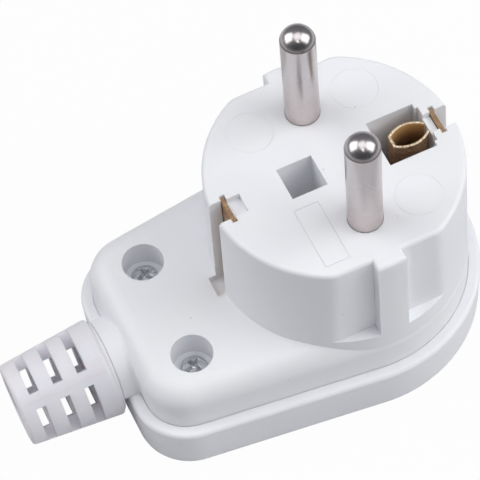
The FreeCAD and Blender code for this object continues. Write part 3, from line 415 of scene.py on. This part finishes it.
# Painted shade: a dark brown band just above the tip's edge, for the rim's dark reflection
in_tip = add(tree, "ShaderNodeMath", {"operation": "GREATER_THAN"}, {1: shaft_end + painted_band_from},
             {0: height})
painted_band_fade = add(tree, "ShaderNodeMapRange",
                inputs={"From Min": shaft_end + painted_band_full, "From Max": shaft_end + painted_band_to,
                        "To Min": 0.85, "To Max": 0.0}, links={"Value": height})
painted_dark_band = add(tree, "ShaderNodeMath", {"operation": "MULTIPLY"},
           links={0: in_tip.outputs[0], 1: painted_band_fade.outputs["Result"]})
with_painted_band = add(tree, "ShaderNodeMix", {"data_type": "RGBA"}, {7: linear("#655852")},
             {0: painted_dark_band.outputs[0], 6: tint.outputs[2]})
gloss = add(tree, "ShaderNodeMath", {"operation": "MULTIPLY_ADD"},
            {1: dull_roughness_added, 2: satin_roughness}, {0: dull.outputs[0]})
relief = add(tree, "ShaderNodeBump", inputs={"Strength": 0.15, "Distance": 0.004 * MM},
             links={"Height": rings.outputs["Fac"]})
link_in(tree, shader, {"Base Color": with_painted_band.outputs[2], "Roughness": gloss.outputs[0],
                       "Normal": relief.outputs["Normal"]})


def pin_mesh(node):
    """A pin as the CAD has it, with its tip pressed a little flatter than a half ball.

    Equal corners of the triangles are joined. Above the shaft's end, a corner at distance q from
    the axis goes to height end - sink + sqrt(ball^2 - q^2), where ball = shaft radius / cos(a),
    sink = ball sin(a) and a is the slope left at the tip's edge. The tip's shading follows the
    ball, and the rest keeps its own.
    """
    source = node.data
    points = np.empty(len(source.vertices) * 3)
    source.vertices.foreach_get("co", points)
    points = points.reshape(-1, 3)
    source.calc_loop_triangles()
    corners = np.empty(len(source.loop_triangles) * 3, dtype=np.int32)
    source.loop_triangles.foreach_get("vertices", corners)
    loops = np.empty(len(corners), dtype=np.int32)
    source.loop_triangles.foreach_get("loops", loops)
    facing = np.empty(len(source.loops) * 3)
    source.corner_normals.foreach_get("vector", facing)
    facing = facing.reshape(-1, 3)[loops].reshape(-1, 3, 3)
    rounded, joined = np.unique((points / merge_step).round(), axis=0, return_inverse=True)
    first = np.zeros((len(rounded), 3))
    first[joined.ravel()] = points
    faces = joined.ravel()[corners].reshape(-1, 3)
    kept = ((faces[:, 0] != faces[:, 1]) & (faces[:, 1] != faces[:, 2])
            & (faces[:, 2] != faces[:, 0]))
    faces, facing = faces[kept], facing[kept]
    low, high = (np.array(corner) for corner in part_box(node.name))
    axis = (low + high)[:2] / 2
    ball = pin_radius / np.cos(tip_edge_angle)
    centre = np.array([*axis, shaft_end - ball * np.sin(tip_edge_angle)])
    from_axis = np.linalg.norm(first[:, :2] - axis, axis=1)
    tip = first[:, 2] > shaft_end + past_edge
    first[tip, 2] = centre[2] + np.sqrt(np.maximum(ball ** 2 - from_axis[tip] ** 2, 0))
    in_tip = first[faces][:, :, 2].max(1) > shaft_end + past_edge
    outward = first[faces[in_tip]] - centre
    facing[in_tip] = outward / np.linalg.norm(outward, axis=2, keepdims=True)
    mesh = new_mesh(node.name + "_made", first, faces.tolist())
    mesh.polygons.foreach_set("use_smooth", np.ones(len(faces), dtype=bool))
    mesh.normals_split_custom_set(facing.reshape(-1, 3).tolist())
    return mesh


for name in ("contact_pin_far", "contact_pin_near"):
    pin = place_piece(pin_mesh(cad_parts[name]), nickel_material)
    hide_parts(name)

# Earth bow, socket and rivet
# Stamped and bent from half-hard rolled brass. The eye gets a golden brown that the air has
# dulled in patches and dark spots, with fine marks along the rolling and an upper inside
# painted lighter, as painted light falling in at the mouth.
patch_size, spot_size, mark_size = 1.6 * MM, 0.22 * MM, 0.1 * MM
# The tarnished metal share, and the lower one where light is painted on the upper inside
tarnished_metallic, painted_light_metallic = 0.8, 0.4
socket_middle, leaf_height, leaf_thickness = 11.15 * MM, 32.9 * MM, 0.4 * MM
half_length, half_width, half_mouth = 2.63 * MM, 1.93 * MM, 0.95 * MM
# Each leaf is an arc through the fold's corner, the widest point and the mouth's corner, so its
# centre lies (l^2 + m^2 - w^2) / (2 (w - m)) past the middle, where l, w and m are those halves
leaf_centre = ((half_length ** 2 + half_mouth ** 2 - half_width ** 2)
               / (2 * (half_width - half_mouth)))
# The socket's inner side, and the height from which painted light fades in towards its top
leaf_inside, fold_inside, painted_light_from = 3.66 * MM, -2.26 * MM, 29.3 * MM

brass_material, tree, shader = new_material("rolled_tarnished_brass")
place = add(tree, "ShaderNodeTexCoord").outputs["Object"]
patches = add(tree, "ShaderNodeTexNoise", inputs={"Scale": 1 / patch_size, "Detail": 5.0},
              links={"Vector": place})
depth = add(tree, "ShaderNodeMapRange", inputs={"From Min": 0.38, "From Max": 0.66},
            links={"Value": patches.outputs["Fac"]})
stained = add(tree, "ShaderNodeMix", {"data_type": "RGBA"},
              {6: linear("#d3b088"), 7: linear("#a17b62")}, {0: depth.outputs["Result"]})
grit = add(tree, "ShaderNodeTexNoise", inputs={"Scale": 1 / spot_size, "Detail": 3.0},
           links={"Vector": place})
spots = add(tree, "ShaderNodeMapRange",
            inputs={"From Min": 0.52, "From Max": 0.62, "To Min": 0.0, "To Max": 0.7},
            links={"Value": grit.outputs["Fac"]})
tint = add(tree, "ShaderNodeMix", {"data_type": "RGBA"}, {7: linear("#6e5a42")},
           {0: spots.outputs["Result"], 6: stained.outputs[2]})
gloss = add(tree, "ShaderNodeMapRange", inputs={"To Min": 0.42, "To Max": 0.62},
            links={"Value": depth.outputs["Result"]})
rolling = add(tree, "ShaderNodeMapping", inputs={"Scale": (1.0, 1.0, 0.08)},
              links={"Vector": place})
marks = add(tree, "ShaderNodeTexNoise", inputs={"Scale": 1 / mark_size, "Detail": 2.0},
            links={"Vector": rolling.outputs["Vector"]})
relief = add(tree, "ShaderNodeBump", inputs={"Strength": 0.3, "Distance": 0.006 * MM},
             links={"Height": marks.outputs["Fac"]})
# Painted light: the socket's upper inside is lighter and paler towards the top, nearer than
# leaf_inside to the centre of a leaf's arc, and past the inner side of the fold
where = add(tree, "ShaderNodeSeparateXYZ", links={"Vector": place})
along = add(tree, "ShaderNodeMath", {"operation": "SUBTRACT"}, {1: socket_middle},
            {0: where.outputs["X"]})
aside = add(tree, "ShaderNodeMath", {"operation": "ABSOLUTE"}, links={0: where.outputs["Y"]})
past = add(tree, "ShaderNodeMath", {"operation": "ADD"}, {1: leaf_centre}, {0: aside.outputs[0]})
arm = add(tree, "ShaderNodeCombineXYZ", links={"X": along.outputs[0], "Y": past.outputs[0]})
reach = add(tree, "ShaderNodeVectorMath", {"operation": "LENGTH"}, links={0: arm.outputs[0]})
inside = add(tree, "ShaderNodeMath", {"operation": "LESS_THAN"}, {1: leaf_inside},
             {0: reach.outputs["Value"]})
painted_light_fade = add(tree, "ShaderNodeMapRange",
             inputs={"From Min": painted_light_from, "From Max": leaf_height, "To Min": 0.0, "To Max": 1.0},
             links={"Value": where.outputs["Z"]})
past_fold = add(tree, "ShaderNodeMath", {"operation": "GREATER_THAN"}, {1: fold_inside},
                {0: along.outputs[0]})
within = add(tree, "ShaderNodeMath", {"operation": "MULTIPLY"},
             links={0: inside.outputs[0], 1: past_fold.outputs[0]})
painted_inner_light = add(tree, "ShaderNodeMath", {"operation": "MULTIPLY"},
            links={0: within.outputs[0], 1: painted_light_fade.outputs["Result"]})
painted_light_tint = add(tree, "ShaderNodeMix", {"data_type": "RGBA"}, {7: linear("#f0c382")},
              {0: painted_inner_light.outputs[0], 6: tint.outputs[2]})
# The tarnish is a thin oxide, so it isn't quite a metal mirror, and the painted inner light
# has less metal still, so that it takes more of the lamps' light
metal = add(tree, "ShaderNodeMath", {"operation": "MULTIPLY_ADD"},
            {1: painted_light_metallic - tarnished_metallic, 2: tarnished_metallic},
            {0: painted_inner_light.outputs[0]})
link_in(tree, shader, {"Metallic": metal.outputs[0], "Base Color": painted_light_tint.outputs[2],
                       "Roughness": gloss.outputs["Result"], "Normal": relief.outputs["Normal"]})
dress(brass_material, "earth_bow", "earth_socket", "earth_rivet")

# Rim of the earth socket
# The leaves' upper edge is rounded and rubbed by earth pins going in, with a near-white cream
# painted on as a highlight. The eye gets a thin cream line that breaks up a little along its
# length.
scuff_size = 0.35 * MM
rim_rise, rim_sink, rim_wobble = 0.16 * MM, 0.04 * MM, 0.12
quick_wave, slow_wave = 1.7, 0.53

rubbed_and_highlit_material, tree, shader = new_material("rubbed_brass_edge_painted_highlight", {"Metallic": 0.6})
place = add(tree, "ShaderNodeTexCoord").outputs["Object"]
scuffs = add(tree, "ShaderNodeTexNoise", inputs={"Scale": 1 / scuff_size, "Detail": 3.0},
             links={"Vector": place})
wear_and_highlight = add(tree, "ShaderNodeMapRange", inputs={"From Min": 0.42, "From Max": 0.68},
           links={"Value": scuffs.outputs["Fac"]})
# The near-white cream is a painted highlight and the darker colour is rubbed brass
tint = add(tree, "ShaderNodeMix", {"data_type": "RGBA"},
           {6: linear("#fff0d4"), 7: linear("#b98d5c")}, {0: wear_and_highlight.outputs["Result"]})
gloss = add(tree, "ShaderNodeMapRange", inputs={"To Min": 0.28, "To Max": 0.5},
            links={"Value": scuffs.outputs["Fac"]})
relief = add(tree, "ShaderNodeBump", inputs={"Strength": 0.4, "Distance": 0.02 * MM},
             links={"Height": scuffs.outputs["Fac"]})
link_in(tree, shader, {"Base Color": tint.outputs[2], "Roughness": gloss.outputs["Result"],
                       "Normal": relief.outputs["Normal"]})


def rim_mesh(name):
    """The rounded upper edge of the socket's one bent strip, as a closed bead along its middle.

    The bead follows one leaf's arc, the flat fold and the other leaf's arc. Around it at angle t
    a point is half the thickness times cos t aside, and the rise times sin t up, or below the
    leaf's edge the sink times sin t. Both waver by rim_wobble times the sines of two waves.
    """
    radius = leaf_centre + half_width - leaf_thickness / 2
    fold = leaf_thickness / 2 - half_length
    turns = np.linspace(np.arcsin(half_length / radius), np.arcsin(fold / radius), 60)
    leaf = np.stack([socket_middle + radius * np.sin(turns),
                     radius * np.cos(turns) - leaf_centre], 1)
    flat = np.linspace(1, -1, 14)[1:-1, None] * [0, leaf[-1, 1]] + [socket_middle + fold, 0]
    path = np.concatenate([leaf, flat, leaf[::-1] * [1, -1]])
    along = np.gradient(path, axis=0)
    aside = np.stack([along[:, 1], -along[:, 0]], 1)
    aside /= np.linalg.norm(aside, axis=1, keepdims=True)
    t = np.linspace(0, 2 * np.pi, 20, endpoint=False)
    rise = np.where(np.sin(t) > 0, rim_rise, rim_sink) * np.sin(t)
    step = np.arange(len(path))
    wobble = 1 + rim_wobble * np.sin(step * quick_wave) * np.sin(step * slow_wave)
    points = np.empty((len(path), len(t), 3))
    points[..., :2] = path[:, None] + aside[:, None] * (leaf_thickness / 2 * np.cos(t))[:, None]
    points[..., 2] = leaf_height + wobble[:, None] * rise
    size = points.shape[:2]
    return new_mesh(name, points, ring_faces(*size) + end_faces(*size), 60)


place_piece(rim_mesh("earth_socket_rim"), rubbed_and_highlit_material)

# Screws and washer
# Steel, zinc-plated and clear-passivated: tapping screws with a pan head and a cross recess for
# the mouldings, cheese-head machine screws for the wires. The eye gets real threads and a cool
# grey that glints in small facets, like the marks that a driver leaves.
spangle_size, facet_size = 0.25 * MM, 0.42 * MM
# The clear passivation lies on the zinc as a thin milky film, so it isn't quite a metal mirror
zinc_material, tree, shader = new_material("zinc_plated_steel", {"Metallic": 0.8})
place = add(tree, "ShaderNodeTexCoord").outputs["Object"]
spangle = add(tree, "ShaderNodeTexNoise", inputs={"Scale": 1 / spangle_size, "Detail": 4.0},
              links={"Vector": place})
facets = add(tree, "ShaderNodeTexVoronoi", {"feature": "F1"}, {"Scale": 1 / facet_size},
             {"Vector": place})
tint = add(tree, "ShaderNodeMix", {"data_type": "RGBA"},
           {6: linear("#c4c6cb"), 7: linear("#f2f3f5")}, {0: spangle.outputs["Fac"]})
gloss = add(tree, "ShaderNodeMapRange", inputs={"To Min": 0.2, "To Max": 0.4},
            links={"Value": spangle.outputs["Fac"]})
relief = add(tree, "ShaderNodeBump", inputs={"Strength": 0.9, "Distance": 0.25 * MM},
             links={"Height": facets.outputs["Distance"]})
link_in(tree, shader, {"Base Color": tint.outputs[2], "Roughness": gloss.outputs["Result"],
                       "Normal": relief.outputs["Normal"]})
dress(zinc_material, "earth_clamp_washer")

# Both kinds of screw in mm, but rim and root, which are shares of the head's height and of the
# shank's radius, the crown's power, and the thread's half width, a share of its pitch
tapping = {"height": 1.6, "head": 1.95, "rim": 0.4, "power": 2, "shank": 1.15, "root": 0.74,
           "pitch": 1.1, "half": 0.3, "point": 1.3 * 1.15, "recess": 1.2}
machine = {"height": 1.5, "head": 2.7, "rim": 0.93, "power": 12, "shank": 1.5, "root": 0.82,
           "pitch": 0.5, "half": 0.5, "point": 0.3, "recess": 0.8}
arm_depth, arm_reach, arm_slope = 1.05, 1.25, 0.55
arm_half_width, arm_flare, arm_side = 0.30, 0.05, 0.07
pit_radius, pit_slope, slot_half_width, slot_side = 0.62, 0.3, 0.36, 0.05
recess_turn, thread_start, tip_share = 0.4, 0.4, 0.12
# The head's edge as shares of its radius and of its rim's height
head_edge = np.array([[1.0, 0.7], [1.0, 0.15], [0.97, 0.0], [0.8, 0.0]])


def recess_arm(along, aside):
    """Depth of one bar of a cross recess at a point along it and aside from it.

    depth * min(1, (reach - |along|) / slope), within half width + flare * |along| of its middle.
    """
    side = (arm_half_width + arm_flare * np.abs(along) - np.abs(aside)) / arm_side
    return np.clip(side, 0, 1) * arm_depth * np.clip((arm_reach - np.abs(along)) / arm_slope, 0, 1)


def screw_mesh(name, seat, upright, length, kind):
    """A screw as one closed surface of revolution whose recess and thread vary with the angle.

    The profile runs from the crown's middle out to the rim, under the head and down the shank.
    Crown: z = rim + (height - rim) (1 - (r / head)^power), less the recess, which is a cross
    with a round pit in its middle, or a slot. Thread: radius = root + (shank - root) *
    max(0, 1 - |f - 1/2| / half), where f is the fraction of z / pitch - angle / turn. The
    underside of the head is zero, and lies at the seat.
    """
    angle = np.linspace(0, 2 * np.pi, 144, endpoint=False)[None, :]
    r = kind["head"] * np.linspace(0, 1, 44)[1:, None] ** 0.9
    rim = kind["height"] * kind["rim"]
    crown = rim + (kind["height"] - rim) * (1 - (r / kind["head"]) ** kind["power"])
    x, y = r * np.cos(angle - recess_turn), r * np.sin(angle - recess_turn)
    if kind is tapping:
        pit = kind["recess"] * np.clip((pit_radius - r) / pit_slope, 0, 1)
        recess = np.maximum(np.maximum(recess_arm(x, y), recess_arm(y, x)), pit)
    else:
        recess = kind["recess"] * np.clip((slot_half_width - np.abs(y)) / slot_side, 0, 1)
    z = np.linspace(0, -length, 120)[:, None]
    turns = z / kind["pitch"] - angle / (2 * np.pi)
    ridge = np.maximum(0, 1 - np.abs(turns - np.floor(turns) - 0.5) / kind["half"])
    root = kind["shank"] * kind["root"]
    point = np.clip((length + z) / kind["point"], 0, 1)
    fade = np.clip(-z / thread_start, 0, 1)
    shaft_r = ((root + (kind["shank"] - root) * ridge * fade)
               * (tip_share + (1 - tip_share) * point))
    all_r = np.concatenate([r + 0 * angle, kind["head"] * head_edge[:, :1] + 0 * angle, shaft_r])
    all_z = np.concatenate([crown - recess, rim * head_edge[:, 1:] + 0 * angle, z + 0 * angle])
    points = np.stack([all_r * np.cos(angle), all_r * np.sin(angle), all_z], -1).reshape(-1, 3)
    ends = [[0, 0, crown[0, 0] - kind["recess"]], [0, 0, -length]]
    points = np.concatenate([points, ends])
    if not upright:
        points *= [1, -1, -1]
    rows, columns = all_r.shape
    ring = np.arange(columns)
    after, last = (ring + 1) % columns, (rows - 1) * columns
    cap = np.stack([np.full(columns, rows * columns), ring, after], -1)
    end = np.stack([np.full(columns, rows * columns + 1), last + after, last + ring], -1)
    faces = ring_faces(rows, columns) + cap.tolist() + end.tolist()
    return new_mesh(name, points * MM + seat, faces, 35)


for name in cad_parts:
    if "screw" not in name:
        continue
    low, high = (np.array(corner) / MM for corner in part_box(name))
    kind = machine if "terminal" in name else tapping
    upright = name.startswith("cover")
    under = high[2] - kind["height"] if upright else low[2] + kind["height"]
    seat = np.array([*(low + high)[:2] / 2, under]) * MM
    screw = screw_mesh(name + "_made", seat, upright, high[2] - low[2] - kind["height"], kind)
    piece = place_piece(screw, zinc_material)
    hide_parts(name)
